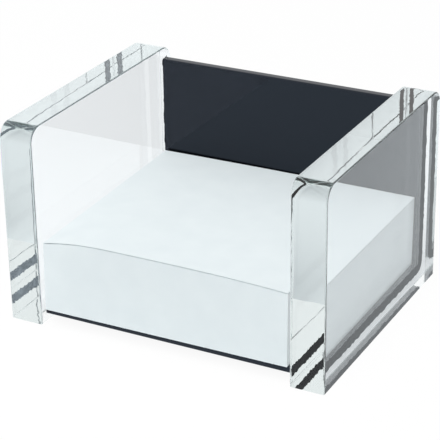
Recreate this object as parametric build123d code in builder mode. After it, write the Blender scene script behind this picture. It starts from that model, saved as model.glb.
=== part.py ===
"""Memo paper holder in acrylic.

Two thick clear blocks stand on the table, one at each side. A single sheet of
black acrylic, bent into an L, is cemented between them: its long leg is the
floor, its short leg is the back panel, and both stop short of the blocks' edges.
A stack of loose memo sheets lies on the floor. The front and the top are open.

X runs across the holder, Y from the open front (-Y) to the back, Z up. The
origin is on the table, in the middle of the footprint.
"""
from build123d import *
import math
import os

# ---- driving dimensions, in millimetres and degrees ----

# The clear blocks. Their depth follows the paper's.
block_thickness = 12.5
block_height = 72.0
block_corner_radius = 5.5       # rounded top corners, front and back
block_arris = 0.3               # polished bevel round both broad faces

# The bay between the blocks, open in front, and the room that it leaves the paper.
paper_side_play = 1.5           # at each side
paper_depth_play = 2.3          # front and back together

# The bent black sheet.
sheet_thickness = 3.2
bend_inner_radius = 0.8
floor_lift = 3.0                # underside of the floor above the table
front_inset = 3.0               # floor's edge behind the blocks' front faces
rear_inset = 3.0                # panel's back in front of the blocks' rear faces
panel_drop = 4.0                # panel's top edge below the blocks' tops
sheet_edge_radius = 0.5         # flame-polished free edges

# The memo paper, a stack of loose sheets that has slid a little out of true.
paper_width = 91.0
paper_depth = 86.0
paper_thickness = 0.1           # one sheet
sheets_in_stack = 256
stack_back_gap = 0.4            # air between the stack and the panel
stack_shift = -0.3              # stack's middle, from the bay's middle
stack_lean = 0.8                # how far back its top lies from its bottom
stack_turn = 0.5                # its turn about Z
front_crown = 1.6               # rise of the front edge, middle above ends
back_crown = 0.2                # rise of the back edge
leaf_gap = 0.25                 # air under the loose top sheet

# ---- sizes that follow ----

bay_width = paper_width + 2 * paper_side_play
bay_depth = paper_depth + paper_depth_play
block_depth = bay_depth + sheet_thickness + rear_inset

front_y = -block_depth / 2
rear_y = block_depth / 2
floor_front_y = front_y + front_inset
floor_top = floor_lift + sheet_thickness
panel_back_y = rear_y - rear_inset
panel_front_y = panel_back_y - sheet_thickness
panel_top = block_height - panel_drop
bend_outer_radius = bend_inner_radius + sheet_thickness

turn = math.radians(stack_turn)
stack_height = sheets_in_stack * paper_thickness
stack_reach_y = paper_depth / 2 * math.cos(turn) + paper_width / 2 * math.sin(turn)
stack_middle_y = panel_front_y - stack_back_gap - stack_lean - stack_reach_y
leaf_height = stack_height + leaf_gap
leaf_middle_y = stack_middle_y + stack_lean


def round_off(block):
    """Round a block's two top corners and bevel the outline of its broad faces."""
    top_corners = block.edges().filter_by(Axis.X).group_by(Axis.Z)[-1]
    fillet(top_corners, block_corner_radius)
    chamfer(block.faces().filter_by(Axis.X).edges(), block_arris)


def paper_section(along, middle_y, lean):
    """Upright section plane across the paper, at a distance along its depth.

    Its x runs with the paper's front edge and its y up the paper, from the floor.
    """
    across = Vector(math.cos(turn), math.sin(turn), 0)
    backwards = Vector(-math.sin(turn), math.cos(turn), 0)
    upwards = Vector(0, lean, stack_height).normalized()
    middle = Vector(stack_shift, middle_y, floor_top) + backwards * along
    return Plane(origin=middle, x_dir=across, z_dir=across.cross(upwards))


# ---- the clear blocks ----

with BuildPart() as left_side:
    with BuildSketch(Plane.YZ.offset(-bay_width / 2 - block_thickness)):
        with Locations((0, block_height / 2)):
            Rectangle(block_depth, block_height)
    extrude(amount=block_thickness)
    round_off(left_side)
left_side.part.label = "left_side"

with BuildPart() as right_side:
    with BuildSketch(Plane.YZ.offset(bay_width / 2)):
        with Locations((0, block_height / 2)):
            Rectangle(block_depth, block_height)
    extrude(amount=block_thickness)
    round_off(right_side)
right_side.part.label = "right_side"

# ---- the black sheet: floor and back panel in one bent piece ----

with BuildPart() as bent_sheet:
    with BuildSketch(Plane.YZ.offset(-bay_width / 2)) as sheet_side:
        with BuildLine():
            Polyline(
                (floor_front_y, floor_lift),
                (panel_back_y, floor_lift),
                (panel_back_y, panel_top),
                (panel_front_y, panel_top),
                (panel_front_y, floor_top),
                (floor_front_y, floor_top),
                close=True,
            )
        make_face()
        outer_bend = sheet_side.vertices().sort_by_distance((panel_back_y, floor_lift))[:1]
        fillet(outer_bend, bend_outer_radius)
        inner_bend = sheet_side.vertices().sort_by_distance((panel_front_y, floor_top))[:1]
        fillet(inner_bend, bend_inner_radius)
        floor_edge = sheet_side.vertices().group_by(Axis.X)[0]
        fillet(floor_edge, sheet_edge_radius)
        panel_edge = sheet_side.vertices().group_by(Axis.Y)[-1]
        fillet(panel_edge, sheet_edge_radius)
    extrude(amount=bay_width)
bent_sheet.part.label = "bent_sheet"

# ---- the paper ----

paper_ends = (
    (-paper_depth / 2, front_crown),
    (paper_depth / 2, back_crown),
)

with BuildPart() as memo_stack:
    for along, crown in paper_ends:
        with BuildSketch(paper_section(along, stack_middle_y, stack_lean)):
            with BuildLine():
                Polyline(
                    (-paper_width / 2, stack_height),
                    (-paper_width / 2, 0),
                    (paper_width / 2, 0),
                    (paper_width / 2, stack_height),
                )
                ThreePointArc(
                    (paper_width / 2, stack_height),
                    (0, stack_height + crown),
                    (-paper_width / 2, stack_height),
                )
            make_face()
    loft()
memo_stack.part.label = "memo_stack"

with BuildPart() as top_sheet:
    for along, crown in paper_ends:
        with BuildSketch(paper_section(along, leaf_middle_y, 0)):
            with BuildLine():
                ThreePointArc(
                    (-paper_width / 2, leaf_height),
                    (0, leaf_height + crown),
                    (paper_width / 2, leaf_height),
                )
                Line(
                    (paper_width / 2, leaf_height),
                    (paper_width / 2, leaf_height + paper_thickness),
                )
                ThreePointArc(
                    (paper_width / 2, leaf_height + paper_thickness),
                    (0, leaf_height + crown + paper_thickness),
                    (-paper_width / 2, leaf_height + paper_thickness),
                )
                Line(
                    (-paper_width / 2, leaf_height + paper_thickness),
                    (-paper_width / 2, leaf_height),
                )
            make_face()
    loft()
top_sheet.part.label = "top_sheet"

# ---- write one file for each piece ----

os.makedirs("parts", exist_ok=True)
for piece in (left_side, right_side, bent_sheet, memo_stack, top_sheet):
    export_step(piece.part, f"parts/{piece.part.label}.step")
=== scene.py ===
"""Memo paper holder in acrylic, dressed for rendering.

Two thick clear blocks stand at the sides. A gloss black sheet, bent into an L, is
cemented between them as floor and back panel. Loose memo paper lies on the floor,
its top sheet a little raised at the front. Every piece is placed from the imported
frame, in metres: X across, Y from the open front to the back, Z up.
"""

import logging
import math
import random
from dataclasses import dataclass
from enum import Enum

import bmesh
import bpy
from mathutils import Matrix, Vector

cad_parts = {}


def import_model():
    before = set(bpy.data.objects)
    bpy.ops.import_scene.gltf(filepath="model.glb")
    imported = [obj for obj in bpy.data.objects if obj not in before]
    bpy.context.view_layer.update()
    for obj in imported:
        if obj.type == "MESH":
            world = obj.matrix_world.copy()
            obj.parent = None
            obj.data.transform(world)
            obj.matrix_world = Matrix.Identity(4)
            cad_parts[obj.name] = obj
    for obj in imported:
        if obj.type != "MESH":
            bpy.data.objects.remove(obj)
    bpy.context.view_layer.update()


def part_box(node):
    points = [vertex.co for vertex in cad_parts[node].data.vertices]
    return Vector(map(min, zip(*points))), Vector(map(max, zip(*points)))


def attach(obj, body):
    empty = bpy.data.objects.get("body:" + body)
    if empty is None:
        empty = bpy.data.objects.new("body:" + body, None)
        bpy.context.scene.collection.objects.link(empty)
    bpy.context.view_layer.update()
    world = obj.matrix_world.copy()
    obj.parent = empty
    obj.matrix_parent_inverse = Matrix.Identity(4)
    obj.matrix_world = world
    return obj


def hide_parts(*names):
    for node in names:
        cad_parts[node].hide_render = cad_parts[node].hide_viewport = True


MM = 0.001
LIGHT_BOUNCES = 32                  # light runs back and forth inside the clear blocks
WHITE = "FFFFFF"
SHARP_TURN = math.radians(50.0)     # an edge that turns by more stays crisp
ALIGNED = 0.99                      # cosine from which a direction counts as along an axis
SAME_PLACE = 0.01 * MM              # distance within which two points count as one
MIX_SHARE, MIX_FIRST, MIX_SECOND = 0, 6, 7      # a mix node's inputs for two colours
MIX_RESULT = 2                                  # and its output for a colour
log =logging.getLogger("memo_holder")


# ---- helpers ----


def srgb(code: str) -> tuple[float, float, float, float]:
    """Turn an sRGB hex colour into linear RGBA.

    Args:
        code: Six hex digits, without a leading sign.

    Returns:
        Red, green, blue and an alpha of one.
    """
    linear = []
    for start in (0, 2, 4):
        value = int(code[start:start + 2], 16) / 255
        linear.append(value / 12.92 if value <= 0.04045 else ((value + 0.055) / 1.055) ** 2.4)
    return (*linear, 1.0)


def add_node(
    tree: bpy.types.NodeTree,
    kind: str,
    inputs: dict[str | int, object] | None = None,
    **settings: object,
) -> bpy.types.Node:
    """Add a shader node, choose its options, and fill or link its inputs.

    Args:
        tree: Node tree that takes the node.
        kind: Node's type name.
        inputs: Value, or output socket to link from, by input name or number.
        **settings: Node's own options.

    Returns:
        The new node.
    """
    node = tree.nodes.new(kind)
    for name, value in settings.items():
        setattr(node, name, value)
    for name, value in (inputs or {}).items():
        if isinstance(value, bpy.types.NodeSocket):
            tree.links.new(value, node.inputs[name])
        else:
            node.inputs[name].default_value = value
    return node


def empty_material(name: str) -> tuple[bpy.types.Material, bpy.types.NodeTree]:
    """Make a node material with nothing in it.

    Args:
        name: The finish's name.

    Returns:
        The material and its node tree.
    """
    material = bpy.data.materials.new(name)
    material.use_nodes = True
    material.node_tree.nodes.clear()
    return material, material.node_tree


def finish_mesh(
    name: str, shape: bmesh.types.BMesh, materials: list[bpy.types.Material]
) -> bpy.types.Object:
    """Turn a bmesh into an object at the origin, smooth but for its sharp edges.

    Args:
        name: The piece's name.
        shape: The modelled bmesh, which is freed.
        materials: The piece's materials, in the order of its face indices.

    Returns:
        The new object, linked to the scene.
    """
    for face in shape.faces:
        face.smooth = True
    for edge in shape.edges:
        edge.smooth = not edge.is_manifold or edge.calc_face_angle(0.0) < SHARP_TURN
    mesh = bpy.data.meshes.new(name)
    shape.to_mesh(mesh)
    shape.free()
    for material in materials:
        mesh.materials.append(material)
    piece = bpy.data.objects.new(name, mesh)
    bpy.context.scene.collection.objects.link(piece)
    return piece


def keep_flats_flat(piece: bpy.types.Object) -> None:
    """Weight a piece's normals by area, so that only its rounded edges curve.

    Args:
        piece: The object that takes the modifier.
    """
    weighted = piece.modifiers.new("flat_faces", "WEIGHTED_NORMAL")
    weighted.mode = "FACE_AREA"
    weighted.keep_sharp = True


def along_x(edge: bmesh.types.BMEdge) -> bool:
    """Tell whether an edge runs across the holder."""
    first, second = (vert.co for vert in edge.verts)
    return abs(first.x - second.x) > ALIGNED * (first - second).length


def faces_sideways(face: bmesh.types.BMFace) -> bool:
    """Tell whether a face looks to the holder's left or right."""
    return abs(face.normal.x) > ALIGNED


def extruded_verts(extruded: dict[str, list]) -> list[bmesh.types.BMVert]:
    """Pick the new vertices out of what an extrusion returns."""
    return [item for item in extruded["geom"] if isinstance(item, bmesh.types.BMVert)]


def round_edges(
    shape: bmesh.types.BMesh, edges: list[bmesh.types.BMEdge], size: float, steps: int
) -> None:
    """Round some of a shape's edges.

    Args:
        shape: The bmesh to change.
        edges: Its edges to round.
        size: How far the rounding reaches from each edge.
        steps: Number of faces across the rounding.
    """
    bmesh.ops.bevel(
        shape, geom=edges, offset=size, offset_type="OFFSET", segments=steps,
        profile=0.5, affect="EDGES", clamp_overlap=True, material=-1,
    )
    shape.normal_update()


# ---- finishes ----


@dataclass(frozen=True)
class ClearAcrylic:
    """Cast acrylic block with polished faces.

    Cast sheet is optically flat on its two broad faces, while its buffed edges are
    faintly wavy. A grey-green shows only where the eye looks through its whole depth.
    """

    name: str = "cast_clear_acrylic"
    ior: float = 1.49
    roughness: float = 0.0
    depth_tint: str = "A8C5C4"
    density: float = 4.0            # absorption per metre
    wave_length: float = 8.0 * MM   # of the faint waves that buffing leaves in the edges
    wave_height: float = 0.06 * MM
    edge_limit: float = 0.5         # a face whose normal has less X than this is an edge

    def material(self) -> bpy.types.Material:
        """Build the material.

        Returns:
            A clear refracting surface round a faintly tinted volume.
        """
        material, tree = empty_material(self.name)
        place = add_node(tree, "ShaderNodeTexCoord")
        facing = add_node(tree, "ShaderNodeSeparateXYZ", {"Vector": place.outputs["Normal"]})
        sideways = add_node(tree, "ShaderNodeMath", {0: facing.outputs["X"]}, operation="ABSOLUTE")
        on_edge = add_node(tree, "ShaderNodeMath", {
            0: sideways.outputs["Value"],
            1: self.edge_limit,
        }, operation="LESS_THAN")
        waves = add_node(tree, "ShaderNodeTexNoise", {
            "Vector": place.outputs["Object"],
            "Scale": 1 / self.wave_length,
            "Detail": 2.0,
        })
        buffed = add_node(tree, "ShaderNodeBump", {
            "Height": waves.outputs["Fac"],
            "Strength": on_edge.outputs["Value"],
            "Distance": self.wave_height,
        })
        surface = add_node(tree, "ShaderNodeBsdfPrincipled", {
            "Base Color": srgb(WHITE),
            "IOR": self.ior,
            "Roughness": self.roughness,
            "Transmission Weight": 1.0,
            "Normal": buffed.outputs["Normal"],
        })
        volume = add_node(tree, "ShaderNodeVolumeAbsorption", {
            "Color": srgb(self.depth_tint),
            "Density": self.density,
        })
        add_node(tree, "ShaderNodeOutputMaterial", {
            "Surface": surface.outputs["BSDF"],
            "Volume": volume.outputs["Volume"],
        })
        return material


@dataclass(frozen=True)
class BlackAcrylic:
    """Gloss black acrylic sheet, heat bent, its free edges flame polished.

    It mirrors what stands before it. Wiping has left a faint haze on it, in patches.
    """

    name: str = "gloss_black_acrylic"
    body: str = "0F1216"
    gloss_tint: str = "D6E5FF"
    ior: float = 1.46
    roughness: float = 0.02
    haze_roughness: float = 0.07
    haze_size: float = 12.0 * MM
    haze_stretch: float = 0.3       # scale across the sheet, which draws the patches out
    haze_start: float = 0.35        # value of the noise up to which there is no haze
    haze_full: float = 0.75         # value from which the haze is full

    def material(self) -> bpy.types.Material:
        """Build the material.

        Returns:
            A near-black body under a mirror-smooth surface with a faint haze in patches.
        """
        material, tree = empty_material(self.name)
        place = add_node(tree, "ShaderNodeTexCoord")
        wiped = add_node(tree, "ShaderNodeMapping", {
            "Vector": place.outputs["Object"],
            "Scale": (self.haze_stretch, 1.0, 1.0),
        })
        patches = add_node(tree, "ShaderNodeTexNoise", {
            "Vector": wiped.outputs["Vector"],
            "Scale": 1 / self.haze_size,
            "Detail": 3.0,
        })
        haze = add_node(tree, "ShaderNodeMapRange", {
            "Value": patches.outputs["Fac"],
            "From Min": self.haze_start,
            "From Max": self.haze_full,
            "To Min": self.roughness,
            "To Max": self.haze_roughness,
        })
        surface = add_node(tree, "ShaderNodeBsdfPrincipled", {
            "Base Color": srgb(self.body),
            "IOR": self.ior,
            "Roughness": haze.outputs["Result"],
            "Specular Tint": srgb(self.gloss_tint),
        })
        add_node(tree, "ShaderNodeOutputMaterial", {"Surface": surface.outputs["BSDF"]})
        return material


@dataclass(frozen=True)
class CementedEnd:
    """End of the black sheet, wetted by solvent cement, with fine bubbles in the joint.

    Where the cement wets it, the end sends no light back. A bubble shows as a pale dot.
    """

    name: str
    body: str
    bubble: str
    bubble_share: float             # rough share of the end that bubbles cover
    bubble_size: float = 0.45 * MM
    bubble_rim: float = 0.06        # half the width of their soft rim, in the noise's values
    noise_middle: float = 0.5
    noise_reach: float = 0.22       # the noise mostly stays this close to its middle

    def material(self) -> bpy.types.Material:
        """Build the material.

        Returns:
            A dark face with pale specks and no surface reflection.
        """
        material, tree = empty_material(self.name)
        place = add_node(tree, "ShaderNodeTexCoord")
        specks = add_node(tree, "ShaderNodeTexNoise", {
            "Vector": place.outputs["Object"],
            "Scale": 1 / self.bubble_size,
            "Detail": 2.0,
        })
        rim = self.noise_middle + self.noise_reach * (1 - 2 * self.bubble_share)
        bubbles = add_node(tree, "ShaderNodeMapRange", {
            "Value": specks.outputs["Fac"],
            "From Min": rim - self.bubble_rim,
            "From Max": rim + self.bubble_rim,
        })
        colour = add_node(tree, "ShaderNodeMix", {
            MIX_SHARE: bubbles.outputs["Result"],
            MIX_FIRST: srgb(self.body),
            MIX_SECOND: srgb(self.bubble),
        }, data_type="RGBA")
        surface = add_node(tree, "ShaderNodeBsdfPrincipled", {
            "Base Color": colour.outputs[MIX_RESULT],
            "Roughness": 1.0,
            "Specular IOR Level": 0.0,
        })
        add_node(tree, "ShaderNodeOutputMaterial", {"Surface": surface.outputs["BSDF"]})
        return material


@dataclass(frozen=True)
class MemoPaper:
    """Uncoated white writing paper, faintly blue from its brightener.

    Its fibres lie in cloudy flocks and give the matte surface a fine tooth.
    """

    name: str = "white_memo_paper"
    light: str = "EBF3F5"
    shade: str = "E2EBEE"
    flock_size: float = 9.0 * MM
    fibre_size: float = 0.5 * MM    # drawn coarser than real fibres, so that it shows
    tooth: float = 0.02 * MM
    roughness: float = 0.85

    def material(self) -> bpy.types.Material:
        """Build the material.

        Returns:
            A matte white with cloudy flocks and a fine tooth.
        """
        material, tree = empty_material(self.name)
        place = add_node(tree, "ShaderNodeTexCoord")
        flocks = add_node(tree, "ShaderNodeTexNoise", {
            "Vector": place.outputs["Object"],
            "Scale": 1 / self.flock_size,
            "Detail": 5.0,
        })
        fibres = add_node(tree, "ShaderNodeTexNoise", {
            "Vector": place.outputs["Object"],
            "Scale": 1 / self.fibre_size,
            "Detail": 3.0,
        })
        colour = add_node(tree, "ShaderNodeMix", {
            MIX_SHARE: flocks.outputs["Fac"],
            MIX_FIRST: srgb(self.light),
            MIX_SECOND: srgb(self.shade),
        }, data_type="RGBA")
        grain = add_node(tree, "ShaderNodeBump", {
            "Height": fibres.outputs["Fac"],
            "Strength": 0.5,
            "Distance": self.tooth,
        })
        surface = add_node(tree, "ShaderNodeBsdfPrincipled", {
            "Base Color": colour.outputs[MIX_RESULT],
            "Roughness": self.roughness,
            "Specular IOR Level": 0.3,
            "Normal": grain.outputs["Normal"],
        })
        add_node(tree, "ShaderNodeOutputMaterial", {"Surface": surface.outputs["BSDF"]})
        return material


@dataclass(frozen=True)
class PlainLight:
    """Plain light, as strong as white, that one kind of ray sees on a lit surface."""

    colour: str
    share: float                    # how much of the lit surface it takes the place of


@dataclass(frozen=True)
class StudioFloor:
    """Matte white table top. The camera and the acrylic see it almost plain white.

    The camera still sees a faint shadow on it, in the share that is left as lit.
    """

    name: str = "studio_floor"
    colour: str = WHITE
    mirrored: PlainLight = PlainLight("F4FBFF", 1.0)
    through_acrylic: PlainLight = PlainLight("F6FBFF", 0.5)
    seen: PlainLight = PlainLight(WHITE, 0.93)

    def material(self) -> bpy.types.Material:
        """Build the material.

        Returns:
            A diffuse white, mostly replaced by plain light where it is looked at.
        """
        material, tree = empty_material(self.name)
        ray = add_node(tree, "ShaderNodeLightPath")
        # A ray that comes through the acrylic counts as glossy too, and is taken off.
        reflected = add_node(tree, "ShaderNodeMath", {
            0: ray.outputs["Is Glossy Ray"],
            1: ray.outputs["Is Transmission Ray"],
        }, operation="SUBTRACT", use_clamp=True)
        matte = add_node(tree, "ShaderNodeBsdfDiffuse", {"Color": srgb(self.colour)})
        shader = matte.outputs["BSDF"]
        for kind, light in (
            (reflected.outputs["Value"], self.mirrored),
            (ray.outputs["Is Transmission Ray"], self.through_acrylic),
            (ray.outputs["Is Camera Ray"], self.seen),
        ):
            share = add_node(tree, "ShaderNodeMath", {
                0: kind,
                1: light.share,
            }, operation="MULTIPLY")
            plain = add_node(tree, "ShaderNodeEmission", {"Color": srgb(light.colour)})
            mixed = add_node(tree, "ShaderNodeMixShader", {
                0: share.outputs["Value"],
                1: shader,
                2: plain.outputs["Emission"],
            })
            shader = mixed.outputs["Shader"]
        add_node(tree, "ShaderNodeOutputMaterial", {"Surface": shader})
        return material


# ---- the pieces ----


class Side(Enum):
    """The holder's two clear sides, by the name of their node."""

    LEFT = "left_side"
    RIGHT = "right_side"


@dataclass
class ClearBlock:
    """One thick clear side, with rounded top corners and polished bevels."""

    side: Side
    finish: ClearAcrylic
    corner_radius: float = 5.5 * MM
    corner_steps: int = 24
    arris: float = 0.5 * MM
    arris_steps: int = 5

    def build(self) -> bpy.types.Object:
        """Model the block and put it in its node's place.

        Returns:
            The dressed block.
        """
        low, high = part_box(self.side.value)
        place = Matrix.Translation((low + high) / 2) @ Matrix.Diagonal((*(high - low), 1.0))
        shape = bmesh.new()
        bmesh.ops.create_cube(shape, size=1.0, matrix=place)
        top_corners = [
            edge for edge in shape.edges
            if along_x(edge) and all(high.z - vert.co.z < SAME_PLACE for vert in edge.verts)
        ]
        round_edges(shape, top_corners, self.corner_radius, self.corner_steps)
        outlines = [
            edge for edge in shape.edges
            if any(faces_sideways(face) for face in edge.link_faces)
        ]
        round_edges(shape, outlines, self.arris, self.arris_steps)
        piece = finish_mesh(f"{self.side.value}_block", shape, [self.finish.material()])
        keep_flats_flat(piece)
        piece.visible_shadow = False    # clear acrylic lets the light through
        piece.visible_diffuse = False
        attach(piece, "holder")
        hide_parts(self.side.value)
        return piece


@dataclass
class BentSheet:
    """The black floor and back panel, one sheet bent across its middle."""

    finish: BlackAcrylic
    left_end: CementedEnd
    right_end: CementedEnd
    thickness: float = 3.2 * MM
    inner_radius: float = 0.8 * MM
    inner_steps: int = 6
    outer_steps: int = 14
    edge_radius: float = 0.5 * MM
    edge_steps: int = 4
    cement_depth: float = 0.04 * MM   # how far the cement draws its ends into the blocks
    film_back: float = 0.03 * MM      # how far the film of cement reaches back from an end
    film_rise: float = 0.006 * MM     # how far it stands out from the end
    run_out: float = 0.6 * MM         # how far it has run past the sheet's outline, at most
    run_out_step: float = 1.2 * MM    # between the points of its ragged edge
    run_out_least: float = -0.5       # lowest draw; below zero, nothing has run out
    seed: int = 7

    def build(self) -> bpy.types.Object:
        """Model the sheet and put it in its node's place.

        Returns:
            The dressed sheet.
        """
        low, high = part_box("bent_sheet")
        outer_bend = (high.y, low.z)
        inner_bend = (high.y - self.thickness, low.z + self.thickness)
        floor_edge = ((low.y, low.z + self.thickness), (low.y, low.z))
        panel_edge = ((high.y, high.z), (high.y - self.thickness, high.z))
        outline = (floor_edge[1], outer_bend, *panel_edge, inner_bend, floor_edge[0])
        shape = self.sweep(outline, low.x - self.cement_depth, high.x + self.cement_depth)
        outer_radius = self.inner_radius + self.thickness
        self.round_corners(shape, (outer_bend,), outer_radius, self.outer_steps)
        self.round_corners(shape, (inner_bend,), self.inner_radius, self.inner_steps)
        self.round_corners(shape, floor_edge + panel_edge, self.edge_radius, self.edge_steps)
        finishes = (self.finish, self.left_end, self.right_end)
        draw = random.Random(self.seed)
        ends = [face for face in shape.faces if faces_sideways(face)]
        for end in sorted(ends, key=lambda face: face.normal.x):
            finish = self.left_end if end.normal.x < 0 else self.right_end
            end.material_index = finishes.index(finish)
            self.add_cement(shape, end, draw)
        piece = finish_mesh("bent_sheet_gloss", shape, [finish.material() for finish in finishes])
        keep_flats_flat(piece)
        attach(piece, "holder")
        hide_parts("bent_sheet")
        return piece

    @staticmethod
    def sweep(
        outline: tuple[tuple[float, float], ...], left: float, right: float
    ) -> bmesh.types.BMesh:
        """Sweep the sheet's outline from one end to the other.

        Args:
            outline: Its corners, each as a place along Y and a height.
            left: The left end's place along X.
            right: The right end's place along X.

        Returns:
            The sheet with all its edges still sharp.
        """
        shape = bmesh.new()
        end = shape.faces.new([shape.verts.new((left, y, z)) for y, z in outline])
        swept = extruded_verts(bmesh.ops.extrude_face_region(shape, geom=[end]))
        bmesh.ops.translate(shape, verts=swept, vec=(right - left, 0, 0))
        bmesh.ops.recalc_face_normals(shape, faces=shape.faces)
        return shape

    def add_cement(
        self, shape: bmesh.types.BMesh, end: bmesh.types.BMFace, draw: random.Random
    ) -> None:
        """Add the film of cement on one end, with the ragged edge where it ran out.

        Args:
            shape: The bmesh to change.
            end: The sheet's end face, which the film covers.
            draw: Source of the edge's unevenness.
        """
        normal = end.normal.copy()
        corners = [vert.co.copy() for vert in end.verts]
        edge = []
        for start, stop in zip(corners, corners[1:] + corners[:1]):
            run = stop - start
            outward = run.cross(normal).normalized()
            steps = max(1, round(run.length / self.run_out_step))
            for step in range(steps):
                reach = max(0.0, draw.uniform(self.run_out_least, 1.0)) * self.run_out
                edge.append(shape.verts.new(start + run * step / steps + outward * reach))
        film = shape.faces.new(edge)
        outer = extruded_verts(bmesh.ops.extrude_face_region(shape, geom=[film]))
        bmesh.ops.translate(shape, verts=edge, vec=-normal * self.film_back)
        bmesh.ops.translate(shape, verts=outer, vec=normal * self.film_rise)
        film_faces = {face for vert in edge + outer for face in vert.link_faces}
        for face in film_faces:
            face.material_index = end.material_index
        bmesh.ops.recalc_face_normals(shape, faces=list(film_faces))

    @staticmethod
    def round_corners(
        shape: bmesh.types.BMesh,
        corners: tuple[tuple[float, float], ...],
        radius: float,
        steps: int,
    ) -> None:
        """Round the edges across the sheet that pass through some corners of its outline.

        Args:
            shape: The bmesh to change.
            corners: The corners, each as a place along Y and a height.
            radius: Radius of the rounding.
            steps: Number of faces across the rounding.
        """
        edges = [
            edge for edge in shape.edges
            if along_x(edge) and any(
                math.dist(edge.verts[0].co.yz, corner) < SAME_PLACE for corner in corners
            )
        ]
        round_edges(shape, edges, radius, steps)


@dataclass
class PaperForm:
    """How the paper lies: its place in the bay and the swell of its upper sheets."""

    width: float = 91.0 * MM
    depth: float = 86.0 * MM
    turn: float = math.radians(0.5)
    peak: float = 0.35              # where the front edge is highest, as a share from the left
    front_crown: float = 1.6 * MM   # rise of the front edge at its highest
    back_crown: float = 0.2 * MM
    left_fall: float = 2.65 * MM    # from the highest point down to the front left corner
    right_fall: float = 1.2 * MM
    fall_power: int = 3             # keeps the edge near level about its highest point
    swell_power: float = 1.5        # how fast the swell grows towards the top sheet

    def rise(self, across: float, along: float, level: float) -> float:
        """Height of a sheet above the plane that a flat one would lie in.

        Args:
            across: Share of the width, from the left.
            along: Share of the depth, from the front.
            level: Share of the stack's height.

        Returns:
            The rise in metres.
        """
        if across < self.peak:
            fall = self.left_fall * (1 - across / self.peak) ** self.fall_power
        else:
            away = (across - self.peak) / (1 - self.peak)
            fall = self.right_fall * away ** self.fall_power
        front = self.front_crown - fall
        back = self.back_crown * (1 - (2 * across - 1) ** 2)
        return (front * (1 - along) + back * along) * level ** self.swell_power

    def place(self, across: float, along: float, middle: Vector) -> Vector:
        """Place of a point of a sheet on the level.

        Args:
            across: Share of the width, from the left.
            along: Share of the depth, from the front.
            middle: The sheet's middle.

        Returns:
            The point, at the middle's height.
        """
        x = (across - 0.5) * self.width
        y = (along - 0.5) * self.depth
        return middle + Vector((
            x * math.cos(self.turn) - y * math.sin(self.turn),
            x * math.sin(self.turn) + y * math.cos(self.turn),
            0,
        ))

    def add_sheet(
        self,
        shape: bmesh.types.BMesh,
        middle: Vector,
        level: float,
        thickness: float,
        parts: tuple[int, int],
    ) -> None:
        """Add one closed sheet of paper to a shape.

        Args:
            shape: The bmesh that takes it.
            middle: Middle of the sheet's underside, on the level.
            level: Share of the stack's height, which sets how much it swells.
            thickness: The sheet's thickness.
            parts: Number of faces across and along.
        """
        grid = bmesh.ops.create_grid(shape, x_segments=parts[0], y_segments=parts[1], size=0.5)
        faces = {face for vert in grid["verts"] for face in vert.link_faces}
        for vert in grid["verts"]:
            across, along = vert.co.x + 0.5, vert.co.y + 0.5
            vert.co = self.place(across, along, middle)
            vert.co.z += self.rise(across, along, level)
        raised = bmesh.ops.extrude_face_region(shape, geom=list(faces), use_keep_orig=True)
        bmesh.ops.translate(shape, verts=extruded_verts(raised), vec=(0, 0, thickness))
        bmesh.ops.reverse_faces(shape, faces=list(faces))


@dataclass
class PaperStack:
    """The stack of loose memo sheets, each one a closed piece of paper."""

    form: PaperForm
    finish: MemoPaper
    pitch: float = 0.1 * MM         # from one sheet to the next
    thickness: float = 0.095 * MM   # of a sheet, so that a sliver of air parts it from the next
    parts: tuple[int, int] = (14, 4)
    lean: float = 0.8 * MM          # how far back the top lies from the bottom
    stray: float = 0.012 * MM       # how far a sheet lies out of true
    seed: int = 12

    def build(self) -> bpy.types.Object:
        """Model the stack and put it in its node's place.

        Returns:
            The dressed stack.
        """
        low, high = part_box("memo_stack")
        count = round((high.z - low.z - self.form.front_crown) / self.pitch)
        bottom = Vector(((low.x + high.x) / 2, (low.y + high.y - self.lean) / 2, low.z))
        draw = random.Random(self.seed)
        shape = bmesh.new()
        for number in range(count):
            level = (number + 1) / count
            middle = bottom + Vector((
                draw.gauss(0, self.stray),
                self.lean * level + draw.gauss(0, self.stray),
                number * self.pitch,
            ))
            self.form.add_sheet(shape, middle, level, self.thickness, self.parts)
        piece = finish_mesh("memo_sheets", shape, [self.finish.material()])
        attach(piece, "paper_stack")
        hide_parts("memo_stack")
        return piece


@dataclass
class LooseSheet:
    """The top sheet, raised a little along its front edge."""

    form: PaperForm
    finish: MemoPaper
    thickness: float = 0.1 * MM
    parts: tuple[int, int] = (28, 8)

    def build(self) -> bpy.types.Object:
        """Model the top sheet and put it in its node's place.

        Returns:
            The dressed sheet.
        """
        low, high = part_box("top_sheet")
        middle = Vector(((low.x + high.x) / 2, (low.y + high.y) / 2, low.z))
        shape = bmesh.new()
        self.form.add_sheet(shape, middle, 1.0, self.thickness, self.parts)
        piece = finish_mesh("loose_memo_sheet", shape, [self.finish.material()])
        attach(piece, "loose_sheet")
        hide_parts("top_sheet")
        return piece


# ---- the studio ----


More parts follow.
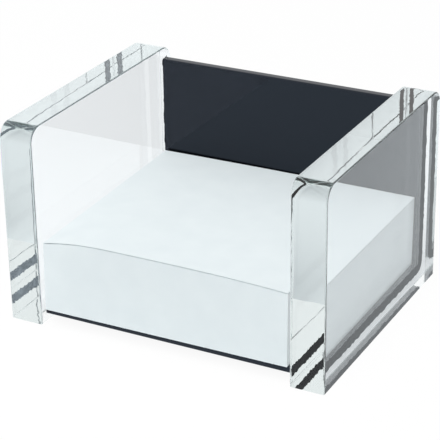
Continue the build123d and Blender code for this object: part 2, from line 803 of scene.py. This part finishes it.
@dataclass
class Studio:
    """A white table in soft, even light from all round."""

    floor_finish: StudioFloor
    floor_size: float = 6.0         # length of the table's side
    floor_drop: float = 0.03 * MM   # keeps the table off the blocks' undersides
    sky: float = 0.48               # strength at which the surroundings light the scene
    key_power: float = 12.0
    key_size: float = 1.0
    key_place: tuple[float, float, float] = (-0.3, -0.5, 1.15)

    def build(self) -> None:
        """Make the table, the surroundings and the lamp."""
        shape = bmesh.new()
        bmesh.ops.create_grid(
            shape, x_segments=1, y_segments=1, size=self.floor_size / 2,
            matrix=Matrix.Translation((0, 0, -self.floor_drop)),
        )
        floor = finish_mesh("table", shape, [self.floor_finish.material()])
        self.surroundings()
        self.lamp("key", self.key_place, self.key_size, self.key_power)

    def surroundings(self) -> None:
        """Make a world that is seen plain white and lights the scene more softly."""
        world = bpy.data.worlds.new("studio")
        bpy.context.scene.world = world
        world.use_nodes = True
        tree = world.node_tree
        tree.nodes.clear()
        ray = add_node(tree, "ShaderNodeLightPath")
        seen_or_mirrored = add_node(tree, "ShaderNodeMath", {
            0: ray.outputs["Is Camera Ray"],
            1: ray.outputs["Is Glossy Ray"],
        }, operation="MAXIMUM")
        seen = add_node(tree, "ShaderNodeMath", {
            0: seen_or_mirrored.outputs["Value"],
            1: ray.outputs["Is Transmission Ray"],
        }, operation="MAXIMUM")
        light = add_node(tree, "ShaderNodeBackground", {
            "Color": srgb(WHITE),
            "Strength": self.sky,
        })
        white = add_node(tree, "ShaderNodeBackground", {"Color": srgb(WHITE), "Strength": 1.0})
        mixed = add_node(tree, "ShaderNodeMixShader", {
            0: seen.outputs["Value"],
            1: light.outputs["Background"],
            2: white.outputs["Background"],
        })
        add_node(tree, "ShaderNodeOutputWorld", {"Surface": mixed.outputs["Shader"]})

    @staticmethod
    def lamp(name: str, place: tuple[float, float, float], size: float, power: float) -> None:
        """Add a soft square lamp that points at the holder and shows in nothing.

        Args:
            name: The lamp's name.
            place: Where it stands.
            size: Length of its side.
            power: Its power in watts.
        """
        data = bpy.data.lights.new(name, "AREA")
        data.shape = "SQUARE"
        data.size = size
        data.energy = power
        lamp = bpy.data.objects.new(name, data)
        lamp.location = place
        lamp.rotation_euler = (-Vector(place)).to_track_quat("-Z", "Y").to_euler()
        lamp.visible_glossy = False
        lamp.visible_transmission = False
        bpy.context.scene.collection.objects.link(lamp)


@dataclass
class CameraRig:
    """A long lens that looks down from the front right. Its angles are in degrees."""

    azimuth: float = 27.980         # from straight in front, towards the right
    elevation: float = 25.180
    roll: float = -0.913
    target: tuple[float, float, float] = (8.889 * MM, -21.104 * MM, 40.242 * MM)
    distance: float = 574.28 * MM   # from the target
    lens: float = 141.27            # focal length; this and the sensor's width in millimetres
    sensor: float = 36.0
    nearest: float = 10.0 * MM      # closest that it sees
    farthest: float = 20.0

    def build(self) -> None:
        """Place the camera and make it the scene's own."""
        azimuth = math.radians(self.azimuth)
        elevation = math.radians(self.elevation)
        back = Vector((
            math.sin(azimuth) * math.cos(elevation),
            -math.cos(azimuth) * math.cos(elevation),
            math.sin(elevation),
        ))
        right = Vector((0, 0, 1)).cross(back).normalized()
        up = back.cross(right)
        level = Matrix((right, up, back)).transposed().to_4x4()
        data = bpy.data.cameras.new("camera")
        data.sensor_width = self.sensor
        data.lens = self.lens
        data.clip_start = self.nearest
        data.clip_end = self.farthest
        camera = bpy.data.objects.new("camera", data)
        camera.matrix_world = (
            Matrix.Translation(Vector(self.target) + back * self.distance)
            @ level @ Matrix.Rotation(math.radians(self.roll), 4, "Z")
        )
        bpy.context.scene.collection.objects.link(camera)
        bpy.context.scene.camera = camera


# ---- the whole holder ----


def main() -> None:
    """Load the frame, build every piece in order and set up the studio."""
    logging.basicConfig(level=logging.INFO, format="%(name)s: %(message)s")
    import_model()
    bpy.context.scene.view_settings.view_transform = "Standard"
    bpy.context.scene.cycles.max_bounces = LIGHT_BOUNCES
    bpy.context.scene.cycles.glossy_bounces = LIGHT_BOUNCES
    bpy.context.scene.cycles.transmission_bounces = LIGHT_BOUNCES
    CameraRig().build()
    clear = ClearAcrylic()
    paper = MemoPaper()
    form = PaperForm()
    makers = (
        ClearBlock(Side.LEFT, clear),
        ClearBlock(Side.RIGHT, clear),
        BentSheet(
            finish=BlackAcrylic(),
            # The left end is drawn much lighter than the right: a slate body with pale specks over
            # about half of it, where the right end is near black with few specks.
            left_end=CementedEnd("lighter_cemented_end", "4C555E", "B6C1CB", bubble_share=0.5),
            right_end=CementedEnd("dark_cemented_end", "050608", "4C545C", bubble_share=0.15),
        ),
        PaperStack(form, paper),
        LooseSheet(form, paper),
    )
    for maker in makers:
        piece = maker.build()
        log.info("%s: %d faces", piece.name, len(piece.data.polygons))
    Studio(StudioFloor()).build()


if __name__ == "__main__":
    main()
